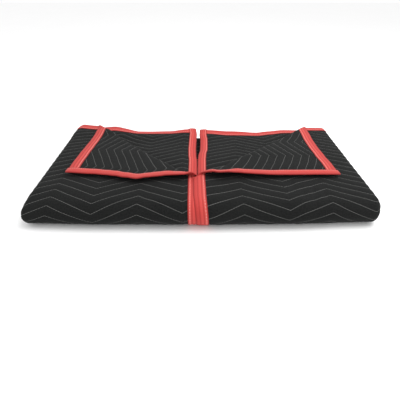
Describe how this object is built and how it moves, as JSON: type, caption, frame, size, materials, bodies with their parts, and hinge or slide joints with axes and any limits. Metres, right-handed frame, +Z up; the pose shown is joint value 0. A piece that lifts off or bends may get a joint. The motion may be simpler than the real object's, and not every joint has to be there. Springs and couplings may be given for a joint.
{
  "type": "folded moving pad",
  "caption": "Quilted black moving blanket with red edge tape, folded into a thick rectangle with a round front fold and its upper corners turned back.",
  "frame": {"origin": "middle of the folded pad's box, on the surface that it rests on", "axes": "+X along the folded pad's long way, +Y from the round front fold towards the open ends, +Z up"},
  "size_m": [0.896, 0.4976, 0.0876],
  "materials": {
    "black_quilt": "matt charcoal-black woven cloth, quilted in zigzag rows with pale grey thread",
    "red_tape": "matt coral-red woven binding tape with lengthwise ribs"
  },
  "bodies": {
    "root": {"quilted_blanket": "black_quilt", "tape_left_side": "red_tape", "tape_right_side": "red_tape", "tape_first_end": "red_tape", "tape_last_end": "red_tape"}
  },
  "joints": []
}
